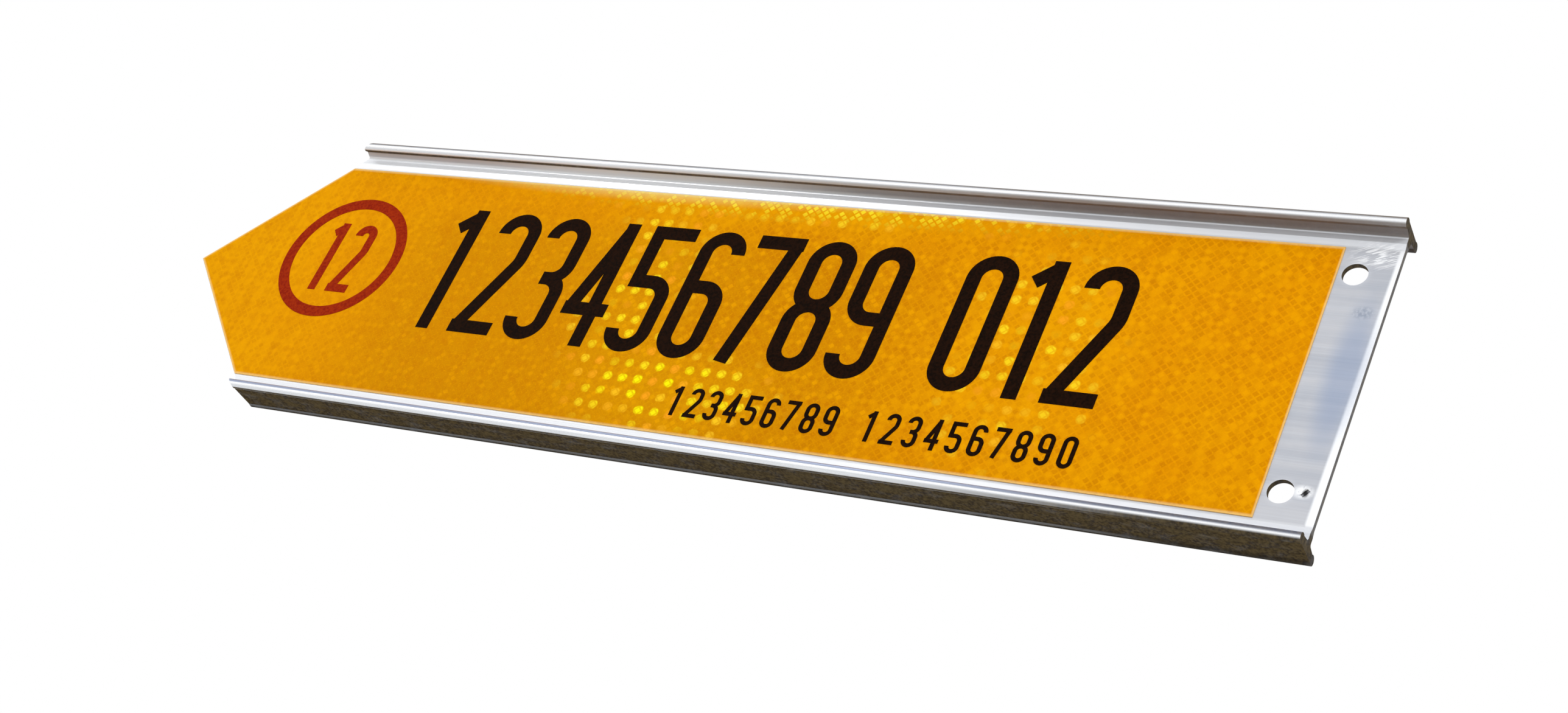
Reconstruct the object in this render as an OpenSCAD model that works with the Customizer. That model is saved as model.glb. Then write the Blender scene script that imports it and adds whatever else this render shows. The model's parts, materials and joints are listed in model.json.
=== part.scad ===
// Extruded street sign blade with a pointed end, reflective sheeting and a red ring.
// The blade is one length of an H section: a thin web between a top and a bottom rail.
// Origin: midway between the two fixing holes, in the middle of the web's thickness.
// +X runs towards the square end that carries the holes, the face looks along -Y, +Z is up.

/* [Blade] */
// Length of the blade, from the point to the square end
blade_len = 605; // [400:1:1200]
// Height of the blade, over both rails
blade_h = 150; // [120:1:250]
// Thickness of the web between the rails
web_t = 2.5; // [1.5:0.1:4]
// Angle between the two saw cuts that make the point
point_angle = 90; // [60:1:150]

/* [Rails] */
// Width of a rail from the front of one bead to the back of the other
rail_w = 20; // [14:0.5:30]
// Diameter of the round bead along each edge of a rail
bead_d = 4.4; // [3.6:0.1:5.2]
// How far a bead stands above the flat outer face of its rail
bead_proud = 0.5; // [0.2:0.1:0.8]
// Thickness of a rail beside its beads
rail_tip_t = 3.2; // [2:0.1:3.8]
// Thickness of a rail where it meets the web
rail_root_t = 4.3; // [3.8:0.1:7]

/* [Web Roots] */
// Thickness of the web where it runs into a rail
root_t = 3.8; // [3:0.1:6]
// Height of the thick strip of web beside a rail
root_h = 3.2; // [2:0.1:6]
// Height of the slope from the thick strip down to the thin web
root_slope_h = 2.5; // [1:0.1:5]
// Radius of the hollow corner between the web and a rail
corner_r = 1.2; // [0.4:0.1:1.8]

/* [Fixing Holes] */
// Diameter of each fixing hole
hole_d = 10.5; // [6:0.1:14]
// Distance between the two hole centres
hole_spacing = 101.6; // [60:0.1:110]
// Distance from the hole centres to the square end
hole_to_end = 16.5; // [9:0.1:30]

/* [Reflective Sheeting] */
// Thickness of the sheeting
sheet_t = 0.4; // [0.2:0.05:0.8]
// Bare web left between the sheeting and the slope of each root
sheet_margin = 1; // [0.2:0.1:5]
// Bare web left between the sheeting and the rim of the holes
sheet_to_hole = 2; // [0.5:0.1:20]
// How far the sheeting is trimmed back from the saw cuts of the point
sheet_trim = 0.3; // [0.1:0.1:3]

/* [Red Ring] */
// Outer diameter of the ring
ring_d = 71.5; // [30:0.5:84]
// Width of the ring's band
ring_band = 6; // [2:0.1:12]
// Thickness of the ring's film
ring_t = 0.15; // [0.05:0.05:0.4]
// Distance from the tip of the blade to the ring's centre
ring_from_tip = 88.5; // [80:0.5:160]
// Height of the ring's centre above the middle of the blade
ring_up = 9.4; // [0:0.1:9.5]

/* [Gouge] */
// Length of the small gouge beside the lower hole
gouge_len = 3.5; // [2:0.1:6]
// Depth of the gouge at its middle
gouge_depth = 0.5; // [0.1:0.05:0.8]
// Radius of the rounded edge that made the gouge
gouge_r = 0.9; // [0.5:0.1:2]
// Distance from the rim of the lower hole to the middle of the gouge
gouge_from_hole = 4.2; // [3:0.1:7]
// Height of the middle of the gouge above the centre of the lower hole
gouge_up = 0.6; // [-2:0.1:2]
// Lean of the gouge from upright, towards the square end
gouge_lean = 38; // [0:1:90]

/* [Hidden] */

arc_steps = 48;
round_steps = 96;
cut_over = 2;

// Ends of the blade along X
end_x = hole_to_end;
tip_x = end_x - blade_len;

// Slope of a saw cut: length gained for each millimetre of height
cut_run = 1 / tan(point_angle / 2);

// Levels of the upper rail above the middle of the blade
bead_z = blade_h / 2 - bead_d / 2;
outer_z = blade_h / 2 - bead_proud;
tip_z = outer_z - rail_tip_t;
rail_z = outer_z - rail_root_t;
strip_z = rail_z - root_h;
thin_z = strip_z - root_slope_h;

// Distances of the section's corners from the middle of the web's thickness
bead_y = rail_w / 2 - bead_d / 2;
root_y = root_t / 2;
web_y = web_t / 2;

// Height and edges of the sheeting
sheet_z = thin_z - sheet_margin;
sheet_tip_x = tip_x + sheet_trim / sin(point_angle / 2);
sheet_end_x = -(hole_d / 2 + sheet_to_hole);
sheet_y = web_y + sheet_t;

// Draws out a piece of the section, which has Y to the right and Z up, along the blade
module drawn_out() {
    translate([tip_x - cut_over, 0, 0])
        rotate([90, 0, 90]) linear_extrude(blade_len + cut_over) children();
}

// The web, with its thick strips and slopes, run into both rails
module web() {
    drawn_out() polygon([
        [web_y, -thin_z], [web_y, thin_z], [root_y, strip_z], [root_y, tip_z],
        [-root_y, tip_z], [-root_y, strip_z], [-web_y, thin_z], [-web_y, -thin_z],
        [-root_y, -strip_z], [-root_y, -tip_z], [root_y, -tip_z], [root_y, -strip_z]
    ]);
}

// The upper rail: a flat bar, thicker at the web, with a round bead along each edge
module rail() {
    drawn_out() polygon([
        [bead_y, outer_z], [bead_y, tip_z], [root_y, rail_z],
        [-root_y, rail_z], [-bead_y, tip_z], [-bead_y, outer_z]
    ]);
    for (side = [-1, 1])
        drawn_out() translate([side * bead_y, bead_z]) circle(d = bead_d, $fn = arc_steps);
    drawn_out() hollow_corner();
    drawn_out() mirror([1, 0]) hollow_corner();
}

// Metal that fills the corner between the web and the rail's sloped inner face.
// The hollow is round and touches both faces.
module hollow_corner() {
    slope = atan2(tip_z - rail_z, bead_y - root_y);
    centre_y = root_y + corner_r;
    centre_z = rail_z - corner_r * tan(45 - slope / 2);
    difference() {
        polygon([
            [0, centre_z],
            [centre_y, centre_z],
            [centre_y - corner_r * sin(slope), centre_z + corner_r * cos(slope)],
            [root_y, tip_z],
            [0, tip_z]
        ]);
        translate([centre_y, centre_z]) circle(r = corner_r, $fn = arc_steps);
    }
}

// The whole section at the length of the blade, before it is cut to shape
module extrusion() {
    union() {
        web();
        rail();
        mirror([0, 0, 1]) rail();
    }
}

// Outline of the cut blade seen from the front, out to the height half_h
module pointed_outline(start_x, finish_x, half_h) {
    polygon([
        [start_x, 0],
        [start_x + half_h * cut_run, half_h],
        [finish_x, half_h],
        [finish_x, -half_h],
        [start_x + half_h * cut_run, -half_h]
    ]);
}

// Stands a drawing of the front view up, with its thickness from y_front back to y_back
module upright(y_front, y_back) {
    translate([0, y_back, 0]) rotate([90, 0, 0]) linear_extrude(y_back - y_front) children();
}

module fixing_holes() {
    for (side = [-1, 1])
        translate([0, 0, side * hole_spacing / 2])
            rotate([90, 0, 0]) cylinder(d = hole_d, h = rail_w, center = true, $fn = round_steps);
}

// A short scoop in the front of the web, pressed in by a hard edge
module gouge() {
    translate([hole_d / 2 + gouge_from_hole, gouge_depth - gouge_r - web_y, gouge_up - hole_spacing / 2])
        rotate([0, gouge_lean, 0]) cylinder(r = gouge_r, h = gouge_len, center = true, $fn = arc_steps);
}

module blade() {
    color("silver")
    difference() {
        intersection() {
            extrusion();
            upright(-rail_w / 2 - cut_over, rail_w / 2 + cut_over)
                pointed_outline(tip_x, end_x, blade_h / 2);
        }
        fixing_holes();
        gouge();
    }
}

module reflective_sheeting() {
    color("orange")
    upright(-sheet_y, -web_y) pointed_outline(sheet_tip_x, sheet_end_x, sheet_z);
}

module red_ring() {
    color("firebrick")
    upright(-sheet_y - ring_t, -sheet_y)
        translate([tip_x + ring_from_tip, ring_up])
            difference() {
                circle(d = ring_d, $fn = round_steps);
                circle(d = ring_d - 2 * ring_band, $fn = round_steps);
            }
}

blade();
reflective_sheeting();
red_ring();
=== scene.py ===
"""Visual model of a street sign blade: a pointed aluminium extrusion with amber
reflective sheeting, a red ring and plain numerals cut from film.

The face looks along -Y, +X runs to the square end and +Z is up. The finishes and the
numerals are written in millimetres, and the frame and the studio are in metres."""
import json
from math import atan2, ceil, cos, degrees, hypot, radians, sin

import bmesh
import bpy
from mathutils import Matrix, Vector


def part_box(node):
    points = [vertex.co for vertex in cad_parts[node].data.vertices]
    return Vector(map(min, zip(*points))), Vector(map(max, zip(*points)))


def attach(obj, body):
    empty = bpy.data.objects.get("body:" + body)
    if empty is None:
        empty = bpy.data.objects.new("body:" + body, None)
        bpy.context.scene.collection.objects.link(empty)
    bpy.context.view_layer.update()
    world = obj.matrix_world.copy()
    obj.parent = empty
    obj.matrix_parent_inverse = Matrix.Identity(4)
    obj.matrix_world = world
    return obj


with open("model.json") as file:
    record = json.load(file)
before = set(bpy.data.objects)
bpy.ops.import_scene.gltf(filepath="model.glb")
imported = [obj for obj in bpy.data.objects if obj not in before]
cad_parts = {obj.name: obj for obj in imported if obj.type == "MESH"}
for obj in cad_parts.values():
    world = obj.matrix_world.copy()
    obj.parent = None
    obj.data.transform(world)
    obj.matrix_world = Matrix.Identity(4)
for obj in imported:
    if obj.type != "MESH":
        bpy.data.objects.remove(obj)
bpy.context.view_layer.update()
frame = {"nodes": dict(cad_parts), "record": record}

MM = 0.001

# Places taken from the frame
_, blade_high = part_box("blade")
sheet_low, sheet_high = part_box("reflective_sheeting")
ring_low, ring_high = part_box("red_ring")
ring_centre = (ring_low + ring_high) / 2
mount = frame["record"]["mounts"][0]["dims"]

# The same in millimetres. The holes are at X = 0, as far above the middle as below it
END_X = blade_high.x / MM
EDGE_Z = blade_high.z / MM
FILM_LEFT = sheet_low.x / MM
FILM_RIGHT = sheet_high.x / MM
FILM_TOP = sheet_high.z / MM
HOLE_R = mount["hole_r_mm"]
HOLE_Z = mount["spacing_y_mm"] / 2


# Shader nodes


def tone(red, green, blue):
    """A colour as it looks on screen, each part from 0 to 255, in the renderer's own scale."""
    parts = [v / 255 for v in (red, green, blue)]
    return (*[v / 12.92 if v < 0.04045 else ((v + 0.055) / 1.055) ** 2.4 for v in parts], 1)


class Nodes:
    """The nodes of a material or a world. Each call adds a node and returns its output."""

    def __init__(self, tree):
        self.tree = tree
        self.tree.nodes.clear()

    def node(self, kind, sockets, out=0, **settings):
        made = self.tree.nodes.new("ShaderNode" + kind)
        for name, value in settings.items():
            setattr(made, name, value)
        for name, value in sockets.items():
            if isinstance(value, bpy.types.NodeSocket):
                self.tree.links.new(value, made.inputs[name])
            else:
                made.inputs[name].default_value = value
        return made.outputs[out]

    def math(self, operation, first, second=0.0):
        return self.node("Math", {0: first, 1: second}, operation=operation)

    def plus(self, first, second):
        return self.math("ADD", first, second)

    def less(self, first, second):
        return self.math("SUBTRACT", first, second)

    def absolute(self, value):
        return self.math("ABSOLUTE", value)

    def times(self, first, *others):
        for other in others:
            first = self.math("MULTIPLY", first, other)
        return first

    def most(self, first, *others):
        for other in others:
            first = self.math("MAXIMUM", first, other)
        return first

    def parts(self, vector):
        made = self.node("SeparateXYZ", {"Vector": vector}).node
        return made.outputs[0], made.outputs[1], made.outputs[2]

    def seen(self):
        """1 for what the camera sees, straight or in metal or glass, and 0 for all other light."""
        rays = self.node("LightPath", {}).node.outputs
        kinds = ("Is Camera Ray", "Is Glossy Ray", "Is Transmission Ray")
        return self.most(*[rays[kind] for kind in kinds])

    def end(self, kind, shader):
        """Ends the nodes in a material's or a world's output."""
        output = self.tree.nodes.new("ShaderNodeOutput" + kind)
        self.tree.links.new(shader, output.inputs["Surface"])


class Finish(Nodes):
    """The nodes of one material. Its x, y and z give the place on the piece in millimetres."""

    def __init__(self, name):
        self.material = bpy.data.materials.new(name)
        self.material.use_nodes = True
        super().__init__(self.material.node_tree)
        metres = self.node("TexCoord", {}, out="Object")
        self.place = self.node("Mapping", {"Vector": metres, "Scale": (1 / MM, 1 / MM, 1 / MM)})
        self.x, self.y, self.z = self.parts(self.place)

    def fade(self, value, start, end, low=0.0, high=1.0):
        """Goes smoothly from low at start to high at end."""
        return self.node(
            "MapRange",
            {"Value": value, 1: start, 2: end, 3: low, 4: high},
            interpolation_type="SMOOTHSTEP",
        )

    def mix(self, factor, first, second):
        return self.node("Mix", {0: factor, 6: first, 7: second}, out=2, data_type="RGBA")

    def noise(self, grain, detail, roughness=0.55, lean=0.0):
        """Noise with its grain's length along the three axes, leaned over by an angle."""
        place = self.place
        if lean:
            place = self.node("Mapping", {"Vector": place, "Rotation": (0, radians(lean), 0)})
        grains = self.node("Mapping", {"Vector": place, "Scale": [1 / length for length in grain]})
        return self.node(
            "TexNoise", {"Vector": grains, "Scale": 1.0, "Detail": detail, "Roughness": roughness}
        )

    def patch(self, centre, reach):
        """A soft patch on the face: 1 at its centre and 0 at its reach along X and Z."""
        moved = self.node("Mapping", {
            "Vector": self.place,
            "Location": (-centre[0] / reach[0], 0, -centre[1] / reach[1]),
            "Scale": (1 / reach[0], 0, 1 / reach[1]),
        })
        ball = self.node("TexGradient", {"Vector": moved}, out="Fac", gradient_type="SPHERICAL")
        return self.fade(ball, 0.0, 0.75)

    def principled(self, bump, bump_depth, **sockets):
        """Ends the material in a Principled shader with a bump, and returns it."""
        named = {name.replace("_", " "): value for name, value in sockets.items()}
        named["Normal"] = self.node(
            "Bump", {"Height": bump, "Distance": bump_depth * MM, "Strength": 1.0}, out="Normal"
        )
        self.end("Material", self.node("BsdfPrincipled", named))
        return self.material


# Weathered aluminium

BRIGHT_METAL = tone(250, 251, 253)
GOUGE_AT = (HOLE_R + 4.25, 0.6 - HOLE_Z)
SCRAPE_AT = (HOLE_R + 3.15, 1.0 - HOLE_Z)


class MetalFinish(Finish):
    """The nodes of the blade's metal, with the measures that its wear, its painted highlights, its
    grime and its painted shade follow.
    """

    def __init__(self, name):
        super().__init__(name)
        # The way the surface faces, the depth from the web's middle, and how far in from an edge
        self.nx, self.ny, self.nz = self.parts(self.node("TexCoord", {}, out="Normal"))
        self.depth = self.absolute(self.y)
        self.from_top = self.less(EDGE_Z, self.z)
        self.from_bottom = self.plus(self.z, EDGE_Z)
        self.from_edge = self.math("MINIMUM", self.from_top, self.from_bottom)
        # Parts of the blade, each 1 there and 0 elsewhere
        self.front = self.fade(self.y, -1.0, -1.2)
        self.behind = self.fade(self.y, 4, 8)
        self.at_beads = self.fade(self.depth, 6.5, 7.5)
        self.not_up = self.fade(self.nz, 0.2, -0.2)
        self.lip_top = self.times(
            self.fade(self.nz, -0.3, 0.3), self.at_beads, self.fade(self.z, 0, -1)
        )
        # Grain that the metal, its marks, its grime and its painted shade share
        self.die_lines = self.noise((90, 0.35, 0.35), detail=3)
        self.streaks = self.noise((110, 7, 7), detail=5)
        self.speckle = self.noise((1.3, 1.3, 1.3), detail=2)


def mill_metal(f):
    """Grey metal, paler along the lines from the die, with darker clouds of oxide."""
    clouds = f.noise((18, 18, 18), detail=3)
    metal = f.mix(f.fade(f.streaks, 0.35, 0.65), tone(180, 183, 191), tone(195, 196, 201))
    metal = f.mix(f.fade(f.die_lines, 0.4, 0.7, 0.0, 0.2), metal, tone(216, 220, 226))
    return f.mix(f.fade(clouds, 0.5, 0.75, 0.0, 0.3), metal, tone(168, 174, 184))


def strip_marks(f, metal):
    """Marks on the bare strip: a patch of painted blue reflection, a smudge, scratches, and a
    scrape and pale rims at the holes."""
    # A patch of painted blue sky reflection on the bare strip
    blue_reflection = f.patch((9, 3), (11, 48))
    metal = f.mix(f.times(blue_reflection, f.front, 0.55), metal, tone(138, 155, 186))
    smudge = f.times(f.patch((8.3, 33), (6, 4)), f.fade(f.speckle, 0.35, 0.6))
    metal = f.mix(f.times(smudge, f.front, 0.6), metal, tone(132, 142, 160))
    hairs = f.noise((5, 1, 0.5), detail=2, lean=24)
    scratched = f.times(f.patch((7, 61), (15, 9)), f.fade(hairs, 0.48, 0.6))
    scraped = f.times(f.patch(SCRAPE_AT, (5.4, 4)), f.fade(f.speckle, 0.25, 0.5))
    metal = f.mix(f.times(f.most(scratched, scraped), f.front), metal, BRIGHT_METAL)
    rim = HOLE_R + 2.4
    rims = f.most(*[f.patch((0, side * HOLE_Z), (rim, rim)) for side in (-1, 1)])
    return f.mix(f.times(rims, 0.5), metal, tone(226, 228, 232))


def grime_and_painted_shade(f):
    """Returns how strongly grime and painted shade lie at a point, and their colour there."""
    blotch = f.noise((9, 5, 5), detail=5, roughness=0.65)

    # Under the blade and on its rear faces, stronger towards the square end: brown grime with
    # painted shade and a painted reflection of dark ground
    underside = f.most(
        f.fade(f.nz, -0.9, -0.99),
        f.times(f.fade(f.nz, -0.3, -0.75), f.fade(f.x, -190, -30)),
        f.times(f.fade(f.nz, 0.1, -0.3), f.behind),
    )
    underside = f.times(underside, f.fade(f.from_bottom, 5, 3), 0.98)

    # Painted shade under the top rail, and most in the creases beside its beads
    below_top_rail = f.fade(f.from_top, 15, 9)
    under_rail_shade = f.times(
        f.fade(f.nz, -0.35, -0.8), below_top_rail, f.fade(f.x, -430, -60, 0.05, 0.8)
    )
    from_crease = f.absolute(f.less(f.depth, 7.3))
    crease_shade = f.times(
        f.fade(f.nz, -0.2, -0.6), below_top_rail, f.fade(from_crease, 1.6, 0.7), 0.97
    )

    # Painted shade on the ends cut by the saw and in the holes, dust with painted shade on top of
    # the blade, and darker near the square end on the lips
    sawn_end_shade = f.times(f.fade(f.absolute(f.nx), 0.3, 0.6), f.fade(f.from_edge, 9, 7, 0.75, 0.94))
    settled_dust_and_shade = f.times(
        f.fade(f.nz, -0.1, 0.45), f.fade(f.from_top, 5, 3), f.fade(f.streaks, 0.3, 0.7, 0.6, 0.9)
    )
    lips = f.times(f.lip_top, f.fade(f.x, -160, -20, 0.0, 0.7))
    bore_shade = f.times(
        f.fade(f.absolute(f.ny), 0.6, 0.3), f.fade(f.from_edge, 13, 15),
        f.fade(f.absolute(f.x), 12, 10), 0.95,
    )
    grime_and_shade = f.times(
        f.most(underside, under_rail_shade, crease_shade, sawn_end_shade, settled_dust_and_shade, lips, bore_shade),
        f.fade(blotch, 0.2, 0.55, 0.9, 1.0),
    )

    # Brown grime with painted shade, greyer on top and under the top rail, near black behind
    grime_and_shade_colour = f.mix(f.fade(f.speckle, 0.3, 0.7), tone(44, 32, 14), tone(88, 73, 44))
    grime_and_shade_colour = f.mix(f.fade(blotch, 0.45, 0.7, 0.0, 0.6), grime_and_shade_colour, tone(98, 82, 50))
    grime_and_shade_colour = f.mix(f.most(f.times(settled_dust_and_shade, 0.5), under_rail_shade), grime_and_shade_colour, tone(116, 100, 88))
    grime_and_shade_colour = f.mix(f.times(f.behind, f.not_up, 0.7), grime_and_shade_colour, tone(18, 12, 6))
    return grime_and_shade, grime_and_shade_colour


def weathered_aluminium():
    """Mill aluminium with lines from the die, painted highlights on its edges, beads and rail
    roots, dull oxide, and brown grime with painted shade.
    """
    f = MetalFinish("weathered_aluminium")

    # Painted highlights: along the edge of the bare strip, a little wider at the bottom, on the
    # beads, on the roots of the rails, and the glare on the top rail
    to_end = f.plus(f.less(END_X, f.x), f.times(f.z, 0.012))
    arris = f.times(f.front, f.fade(to_end, 3.2, 1.8), f.fade(f.from_edge, 9, 12))
    beads = f.times(f.at_beads, f.not_up)
    roots = f.times(
        f.fade(f.from_edge, 12, 10.5), f.fade(f.depth, 4, 2.6), f.front,
        f.fade(f.x, -100, -330, 0.5, 1.0), f.fade(f.z, 1, -1, 1.0, 0.72),
    )
    glare = f.times(f.patch((-340, 68), (130, 16)), f.fade(f.y, 1, -1), f.not_up, 0.7)
    sheen = f.most(roots, glare)
    metal = f.mix(f.most(arris, beads, sheen), mill_metal(f), BRIGHT_METAL)

    # Painted blue-grey sky reflection on top of the bottom rail's lips, then marks, grime and
    # painted shade over all of it
    metal = f.mix(f.lip_top, metal, tone(143, 153, 178))
    metal = strip_marks(f, metal)
    grime_and_shade, grime_and_shade_colour = grime_and_painted_shade(f)
    # Painted shade darkens the gouge beside the lower hole
    pit = f.times(f.fade(f.y, -0.4, -0.6), f.patch(GOUGE_AT, (1.8, 2.6)), 0.97)
    polish = f.times(f.most(roots, beads), 0.12)
    return f.principled(
        Base_Color=f.mix(pit, f.mix(grime_and_shade, metal, grime_and_shade_colour), tone(14, 11, 8)),
        Metallic=f.times(f.fade(grime_and_shade, 0.0, 0.85, 0.65, 0.0), f.fade(sheen, 0.0, 1.0, 1.0, 0.35)),
        Roughness=f.less(
            f.plus(f.times(grime_and_shade, 0.4), f.fade(f.die_lines, 0.3, 0.7, 0.34, 0.44)), polish
        ),
        Specular_IOR_Level=f.fade(grime_and_shade, 0.0, 0.85, 0.4, 0.0),
        bump=f.plus(f.times(f.die_lines, 0.4), f.times(f.speckle, grime_and_shade)),
        bump_depth=0.02,
    )


# Film

# Pitch of the groups of cells, along and up the sign
GROUP_X, GROUP_Z = 8.1, 7.7

# Where the film's groups catch the light: centre and reach along X and Z, and strength
LIT_ZONES = [
    ((-322, 5), (40, 95), 0.68),
    ((-286, -43), (76, 34), 1.0),
    ((-122, -5), (56, 78), 0.58),
    ((-255, 60), (190, 14), 0.5),
]


def lattice(f):
    """The place on the film, counted in groups of cells."""
    return f.node(
        "CombineXYZ", {0: f.math("DIVIDE", f.x, GROUP_X), 1: f.math("DIVIDE", f.z, GROUP_Z)}
    )


def diamonds(f):
    """The film's fine cells. Returns how far a point is into its cell, and the cell's chance."""
    turned = f.node("Mapping", {"Vector": lattice(f), "Rotation": (0, 0, radians(45))})
    cell = f.node(
        "TexVoronoi",
        {"Vector": turned, "Scale": 2 * 2 ** 0.5, "Randomness": 0.0},
        voronoi_dimensions="2D", distance="CHEBYCHEV", feature="F1",
    ).node
    return f.fade(cell.outputs["Distance"], 0.44, 0.3), f.parts(cell.outputs["Color"])[0]


def round_groups(f):
    """The film's ragged round groups of cells. Returns how far a point is into its group, and
    the group's two chances."""
    ragged = f.noise((2.2, 2.2, 2.2), detail=1)
    group = f.node(
        "TexVoronoi",
        {"Vector": lattice(f), "Scale": 1.0, "Randomness": 0.05},
        voronoi_dimensions="2D", distance="EUCLIDEAN", feature="F1",
    ).node
    reach = f.plus(group.outputs["Distance"], f.times(f.less(ragged, 0.5), 0.16))
    chances = f.parts(group.outputs["Color"])
    return f.fade(reach, 0.34, 0.22), chances[0], chances[1]


def film_surface(f, colour, diamond, grain, gloss, bump_depth):
    """Ends a film's material: half matt, in relief over its cells and its grain."""
    return f.principled(
        Base_Color=colour,
        Roughness=f.fade(grain, 0.3, 0.7, 0.45, 0.6),
        Specular_IOR_Level=gloss,
        bump=f.plus(f.times(diamond, 0.5), grain),
        bump_depth=bump_depth,
    )


def amber_tones(f):
    """Amber with soft clouds and upright bands, painted shade in the middle, and paler at the
    point.
    """
    clouds = f.noise((40, 40, 40), detail=3)
    bands = f.noise((4, 60, 60), detail=1)
    colour = f.mix(f.fade(clouds, 0.3, 0.7), tone(228, 145, 0), tone(234, 156, 0))
    # Painted shade darkens the middle of the film
    middle_shade = f.times(f.fade(f.x, -510, -430), f.fade(f.x, -130, -230), f.fade(f.z, 60, 25))
    colour = f.mix(f.times(middle_shade, 0.85), colour, tone(208, 136, 0))
    colour = f.mix(f.fade(f.x, -460, -560, 0.0, 0.6), colour, tone(234, 162, 0))
    return f.mix(f.fade(bands, 0.4, 0.65, 0.0, 0.25), colour, tone(206, 126, 0))


def film_rim(f):
    """1 along the trimmed edges of the sheeting."""
    from_point = f.less(f.x, f.absolute(f.z))
    return f.most(
        f.fade(f.absolute(f.z), FILM_TOP - 1.6, FILM_TOP - 0.3),
        f.fade(f.x, FILM_RIGHT - 1.0, FILM_RIGHT - 0.3),
        f.fade(from_point, FILM_LEFT + 1.8, FILM_LEFT + 0.4),
    )


def amber_sheeting():
    """Amber film over a lattice of cells, some of which catch the light."""
    f = Finish("amber_sheeting")
    diamond, cell_chance = diamonds(f)
    group, group_chance, hue = round_groups(f)
    grain = f.noise((0.8, 0.8, 0.8), detail=2)

    # Some cells are darker and some paler, more crisply towards the square end
    crisp = f.fade(f.x, -420, -220, 0.6, 1.0)
    dark = f.times(diamond, f.fade(cell_chance, 0.2, 1.0, 0.12, 0.5), crisp)
    dull = f.times(group, f.fade(group_chance, 0.0, 1.0, 0.05, 0.3))
    pale = f.times(diamond, f.fade(cell_chance, 0.35, 0.0, 0.0, 0.5), crisp)
    colour = f.mix(dark, amber_tones(f), tone(194, 112, 0))
    colour = f.mix(dull, colour, tone(202, 120, 0))
    colour = f.mix(pale, colour, tone(246, 168, 0))
    colour = f.mix(f.fade(grain, 0.5, 0.75, 0.0, 0.4), colour, tone(246, 174, 0))

    # In the lit zones more groups glint, and the best lit of them turn yellow
    lit = f.most(*[
        f.times(f.patch(centre, reach), strength) for centre, reach, strength in LIT_ZONES
    ])
    colour = f.mix(f.times(lit, 0.12), colour, tone(250, 196, 8))
    glint = f.times(
        group, f.fade(diamond, 0.0, 1.0, 0.55, 1.0), f.fade(lit, 0.0, 0.25),
        f.fade(f.plus(lit, f.times(group_chance, 0.75)), 0.4, 1.35),
    )
    sparkle = f.mix(f.fade(hue, 0.1, 0.5), tone(250, 162, 26), tone(250, 200, 34))
    sparkle = f.mix(f.times(f.fade(hue, 0.15, 0.7), lit, lit), sparkle, tone(255, 242, 10))
    colour = f.mix(glint, colour, sparkle)

    # Single cells glint along the top, under a pale veil of glare
    upper = f.times(f.patch((-262, 64), (200, 12)), diamond, f.fade(cell_chance, 0.25, 0.8))
    colour = f.mix(f.times(upper, 0.95), colour, tone(255, 226, 40))
    veil = f.patch((-340, 67), (150, 10))
    colour = f.mix(f.times(veil, 0.6), colour, tone(254, 226, 130))
    colour = f.mix(f.times(film_rim(f), 0.5), colour, tone(252, 222, 150))
    return film_surface(f, colour, diamond, grain, gloss=0.01, bump_depth=0.03)


def printed_film(name, dark, light):
    """Film laid over the sheeting, with the fine cells showing through."""
    f = Finish(name)
    diamond, cell_chance = diamonds(f)
    grain = f.noise((1.1, 1.1, 1.1), detail=2)
    colour = f.mix(f.fade(grain, 0.3, 0.7), dark, light)
    colour = f.mix(f.times(diamond, f.fade(cell_chance, 0.3, 1.0, 0.0, 0.4)), colour, light)
    return film_surface(f, colour, diamond, grain, gloss=0.02, bump_depth=0.02)


aluminium = weathered_aluminium()
amber = amber_sheeting()
red = printed_film("red_film", tone(136, 26, 4), tone(162, 46, 8))
black = printed_film("black_film", tone(14, 5, 1), tone(33, 15, 5))

for name, material in (("blade", aluminium), ("reflective_sheeting", amber), ("red_ring", red)):
    for slot in frame["nodes"][name].material_slots:
        slot.material = material


# Numerals, drawn by a flat pen and cut from film

FILM_T = 0.15
ARC_STEP = 7.5
TO_THE_LEFT = Vector((0, -1, 0))


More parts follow.
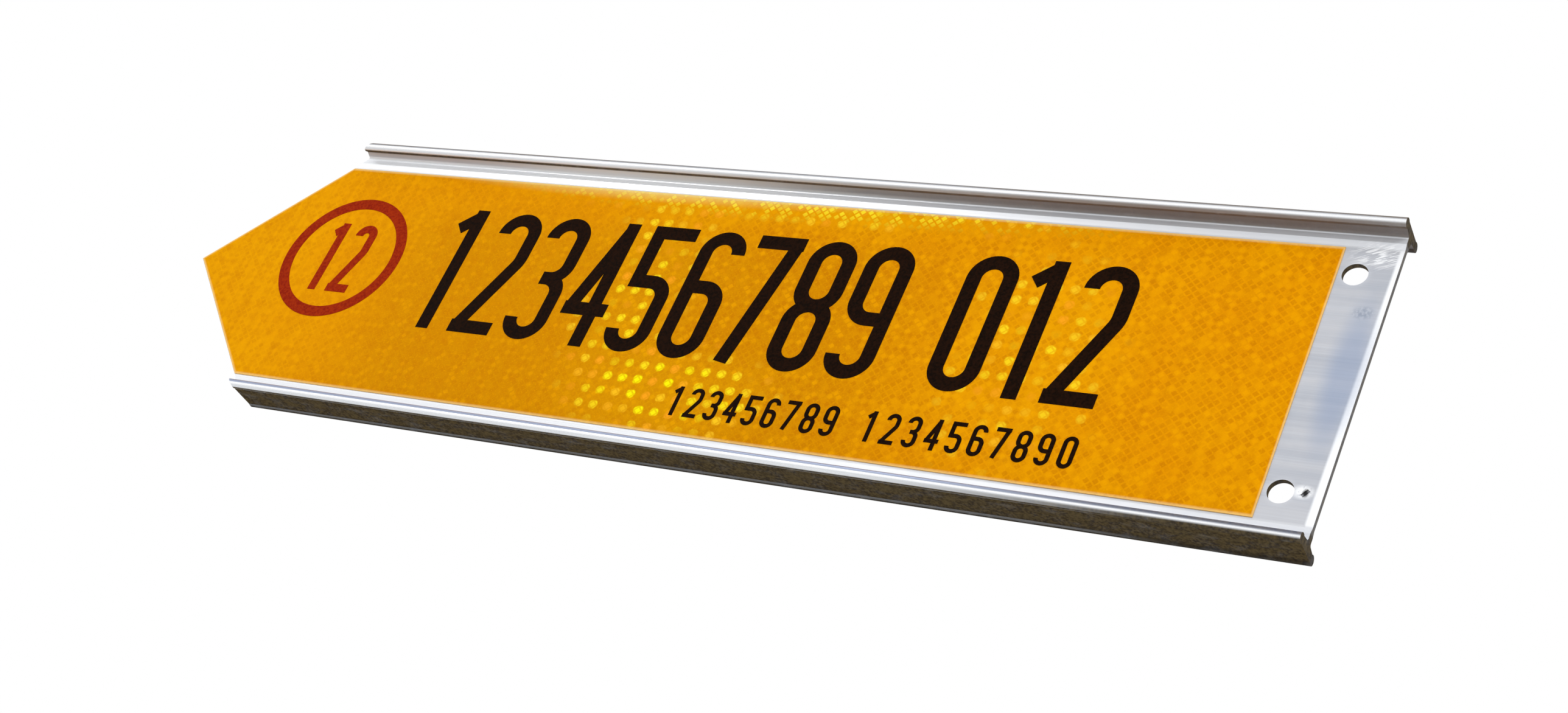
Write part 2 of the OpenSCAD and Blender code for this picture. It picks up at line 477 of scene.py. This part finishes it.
def digit_strokes(width, height):
    """Strokes of each digit on the pen's centre line, in a box of this width and height.

    A stroke is (start x, start z, heading, moves). A move is a length to go straight, or
    (radius, angle) to turn, where a positive angle turns to the left."""
    r = width / 2
    mid = height / 2
    side = height - 2 * r
    # The 2 leaves its bowl on a wider arc and runs straight to the corner of its foot
    lean = atan2(width, 0.62 * height)
    wide = 1.5 * r
    run = (width - wide * (1 - cos(lean))) / sin(lean)
    drop = height - r - wide * sin(lean) - run * cos(lean)
    # The slope of the 4 and the leg of the 7, from the top down to the left
    stem, bar = 0.76 * width, 0.27 * height
    slope = (180 + degrees(atan2(height - bar, stem)), [hypot(height - bar, stem)])
    leg = (180 + degrees(atan2(1.04 * height, 0.72 * width)), [hypot(1.04 * height, 0.72 * width)])
    # The 6 and the 9 are a long hook with a smaller cap that closes its belly
    belly = 0.56 * height
    hook = [(r, 180), side, (r, 180), 0.2 * r]
    cap = [belly - 2 * r, (r, 90), r]
    loop = [mid - 2 * r, (r, -180), mid - 2 * r, (r, -180)]
    return {
        "0": [(0, r, 90, [side, (r, -180), side, (r, -180)])],
        "1": [(1.2 * r, -r, 90, [height + 2 * r]), (0.1 * r, height - 0.95 * r, 40, [1.35 * r])],
        "2": [
            (0, height - r, 90, [(r, -180), drop, (wide, -degrees(lean)), run]),
            (-r, 0, 0, [width + 2 * r]),
        ],
        "3": [
            (0, height - r, 90, [(r, -180), mid - 2 * r, (r, -90), 0.4 * r]),
            (0.6 * r, mid, 0, [0.4 * r, (r, -90), mid - 2 * r, (r, -180)]),
        ],
        "4": [
            (stem, -r, 90, [height + 2 * r]),
            (stem, height, *slope),
            (-r, bar, 0, [width + 2 * r]),
        ],
        "5": [
            (-r, height, 0, [width + 2 * r]),
            (0, height, -90, [height - belly]),
            (-r, belly, 0, [2 * r, (r, -90), belly - 2 * r, (r, -180)]),
        ],
        "6": [(width, height - r, 90, hook), (width, r, 90, cap)],
        "7": [(-r, height, 0, [width + 2 * r]), (width, height, *leg)],
        "8": [(0, mid + r, 90, loop), (0, r, 90, loop)],
        "9": [(0, r, -90, hook), (0, height - r, -90, cap)],
    }


def sweep(bm, x, z, heading, moves, pen):
    """Sweeps an edge as wide as the pen along one stroke, and leaves flat faces."""
    spot = Vector((x, 0, z))
    ahead = Vector((cos(radians(heading)), 0, sin(radians(heading))))
    left = Matrix.Rotation(radians(90), 3, TO_THE_LEFT) @ ahead
    ends = [bm.verts.new(spot + left * pen / 2), bm.verts.new(spot - left * pen / 2)]
    tip = [*ends, bm.edges.new(ends)]
    for move in moves:
        if isinstance(move, tuple):
            radius, angle = move
            turn = radians(angle)
            centre = spot + left * radius * (1 if angle > 0 else -1)
            shift = Vector()
        else:
            turn, centre, shift = 0.0, spot, ahead * move
        steps = max(1, ceil(abs(degrees(turn)) / ARC_STEP))
        tip = bmesh.ops.spin(
            bm, geom=tip, cent=centre, axis=TO_THE_LEFT, dvec=shift, angle=turn, steps=steps,
            use_merge=False, use_normal_flip=False, use_duplicate=False,
        )["geom_last"]
        turned = Matrix.Rotation(turn, 3, TO_THE_LEFT)
        spot = centre + turned @ (spot - centre) + shift
        ahead, left = turned @ ahead, turned @ left


def trim(bm, normal, limit):
    """Cuts off what lies beyond the limit along the normal."""
    bmesh.ops.bisect_plane(
        bm, geom=[*bm.verts, *bm.edges, *bm.faces], plane_co=normal * limit, plane_no=normal,
        clear_outer=True,
    )


def stroke_solid(stroke, width, cap, pen):
    """One stroke of film, in millimetres, kept inside the digit's box."""
    bm = bmesh.new()
    sweep(bm, *stroke, pen)
    trim(bm, Vector((0, 0, -1)), pen / 2)
    trim(bm, Vector((0, 0, 1)), cap - pen / 2)
    trim(bm, Vector((-1, 0, 0)), pen / 2)
    trim(bm, Vector((1, 0, 0)), width - pen / 2)
    bmesh.ops.remove_doubles(bm, verts=bm.verts, dist=pen / 1000)
    bmesh.ops.recalc_face_normals(bm, faces=bm.faces)
    bmesh.ops.solidify(bm, geom=bm.faces, thickness=FILM_T)
    bmesh.ops.recalc_face_normals(bm, faces=bm.faces)
    bmesh.ops.translate(bm, vec=(0, -max(v.co.y for v in bm.verts), 0), verts=bm.verts)
    mesh = bpy.data.meshes.new("stroke")
    bm.to_mesh(mesh)
    bm.free()
    solid = bpy.data.objects.new("stroke", mesh)
    bpy.context.collection.objects.link(solid)
    return solid


def digit_mesh(strokes, width, cap, pen):
    """The strokes of one digit, joined into one closed solid."""
    solids = [stroke_solid(stroke, width, cap, pen) for stroke in strokes]
    for other in solids[1:]:
        join = solids[0].modifiers.new("join", "BOOLEAN")
        join.operation, join.solver, join.object = "UNION", "EXACT", other
    ready = solids[0].evaluated_get(bpy.context.evaluated_depsgraph_get())
    mesh = bpy.data.meshes.new_from_object(ready)
    for solid in solids:
        bpy.data.objects.remove(solid)
    return mesh


def cut_film(name, material, rows):
    """Cuts rows of numerals from one film. A row is (digits, left, right, base, cap height,
    digit width, pen width), in millimetres."""
    bm = bmesh.new()
    for digits, left, right, base, cap, width, pen in rows:
        strokes = digit_strokes(width - pen, cap - pen)
        pitch = (right - left - width) / (len(digits) - 1)
        for place, digit in enumerate(digits):
            mesh = digit_mesh(strokes[digit], width, cap, pen)
            mesh.transform(Matrix.Translation((left + pitch * place + pen / 2, 0, base + pen / 2)))
            bm.from_mesh(mesh)
            bpy.data.meshes.remove(mesh)
    bmesh.ops.scale(bm, vec=(MM, MM, MM), verts=bm.verts)
    bmesh.ops.translate(bm, vec=(0, sheet_low.y, 0), verts=bm.verts)
    mesh = bpy.data.meshes.new(name)
    bm.to_mesh(mesh)
    bm.free()
    mesh.materials.append(material)
    piece = bpy.data.objects.new(name, mesh)
    bpy.context.collection.objects.link(piece)
    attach(piece, "root")


# Cap height, digit width and pen width
LARGE = (69.7, 24, 7)
SMALL = (15, 6.5, 1.9)
BADGE = (40.5, 13, 4.6)

# Base lines of the two black rows, and the right end that they share
LARGE_BASE, SMALL_BASE = -25.3, -54
ROW_RIGHT = -85.5

# Left and right ends and base line of the red row, which stands in the ring
BADGE_LEFT = ring_centre.x / MM - 15.6
BADGE_RIGHT = ring_centre.x / MM + 13.5
BADGE_BASE = ring_centre.z / MM - 20.4

cut_film("black_numerals", black, [
    ("123456789", -443.8, -189.8, LARGE_BASE, *LARGE),
    ("012", -164, ROW_RIGHT, LARGE_BASE, *LARGE),
    ("123456789", -278.3, -194.5, SMALL_BASE, *SMALL),
    ("1234567890", -181.7, ROW_RIGHT, SMALL_BASE, *SMALL),
])
cut_film("red_numerals", red, [
    ("12", BADGE_LEFT, BADGE_RIGHT, BADGE_BASE, *BADGE),
])


# Studio, in metres

FLOOR_Z = -1.3
FLOOR_R = 20
WHITE_FROM, WHITE_AT = 1.5, 5


def studio_floor():
    """A pale floor that fades to white far from the sign."""
    bm = bmesh.new()
    bmesh.ops.create_circle(bm, cap_ends=True, radius=FLOOR_R, segments=96)
    bmesh.ops.translate(bm, vec=(0, 0, FLOOR_Z), verts=bm.verts)
    mesh = bpy.data.meshes.new("studio_floor")
    bm.to_mesh(mesh)
    bm.free()
    floor = bpy.data.objects.new("studio_floor", mesh)
    bpy.context.collection.objects.link(floor)
    f = Finish("pale_floor")
    out_from_sign = f.math("SQRT", f.plus(f.times(f.x, f.x), f.times(f.y, f.y)))
    far = f.fade(out_from_sign, WHITE_FROM / MM, WHITE_AT / MM)
    paint = f.node("BsdfDiffuse", {"Color": (0.92, 0.92, 0.92, 1)})
    white = f.node("Emission", {"Color": (1, 1, 1, 1), "Strength": 1.0})
    f.end("Material", f.node("MixShader", {0: f.times(far, f.seen()), 1: paint, 2: white}))
    mesh.materials.append(f.material)


def studio_world(front, behind):
    """White to the eye. The soft light is brighter from the front than from behind."""
    world = bpy.data.worlds.new("studio")
    world.use_nodes = True
    sky = Nodes(world.node_tree)
    towards_back = sky.parts(sky.node("TexCoord", {}, out="Generated"))[1]
    strength = sky.node("MapRange", {"Value": towards_back, 1: -0.35, 2: 0.25, 3: front, 4: behind})
    soft = sky.node("Background", {"Color": (0.94, 0.97, 1, 1), "Strength": strength})
    white = sky.node("Background", {"Color": (1, 1, 1, 1), "Strength": 1.0})
    sky.end("World", sky.node("MixShader", {0: sky.seen(), 1: soft, 2: white}))
    bpy.context.scene.world = world


def soft_lamp(name, place, aim, size, power):
    """A square soft light that faces its aim."""
    data = bpy.data.lights.new(name, "AREA")
    data.shape = "SQUARE"
    data.size = size
    data.energy = power
    lamp = bpy.data.objects.new(name, data)
    lamp.location = place
    lamp.rotation_euler = (Vector(aim) - Vector(place)).to_track_quat("-Z", "Y").to_euler()
    bpy.context.collection.objects.link(lamp)


def photo_camera(place, angles, lens):
    """A camera that sees the sign as the photograph does, turned by three angles in degrees."""
    camera = bpy.data.objects.new("camera", bpy.data.cameras.new("camera"))
    camera.data.sensor_width = 36
    camera.data.lens = lens
    camera.data.clip_start = 0.01
    camera.location = place
    camera.rotation_euler = [radians(angle) for angle in angles]
    bpy.context.collection.objects.link(camera)
    bpy.context.scene.camera = camera


studio_floor()
studio_world(front=0.8, behind=0.25)
soft_lamp("key_lamp", (1.5, -1.6, 1.4), aim=(-0.2, 0, 0), size=0.9, power=30)
soft_lamp("edge_lamp", (-1.3, -0.6, 1.9), aim=(-0.3, 0, 0), size=0.7, power=5)
soft_lamp("glare_lamp", (-1.227, -1.31, 0.232), aim=(-0.325, 0, 0.066), size=0.2, power=4)
soft_lamp("back_lamp", (-0.6, 1.8, 1.0), aim=(-0.3, 0, 0), size=1.2, power=18)
photo_camera((0.322, -0.7623, -0.496), angles=(119.2724, -22.1378, 24.1767), lens=56.82)
bpy.context.scene.view_settings.view_transform = "Standard"
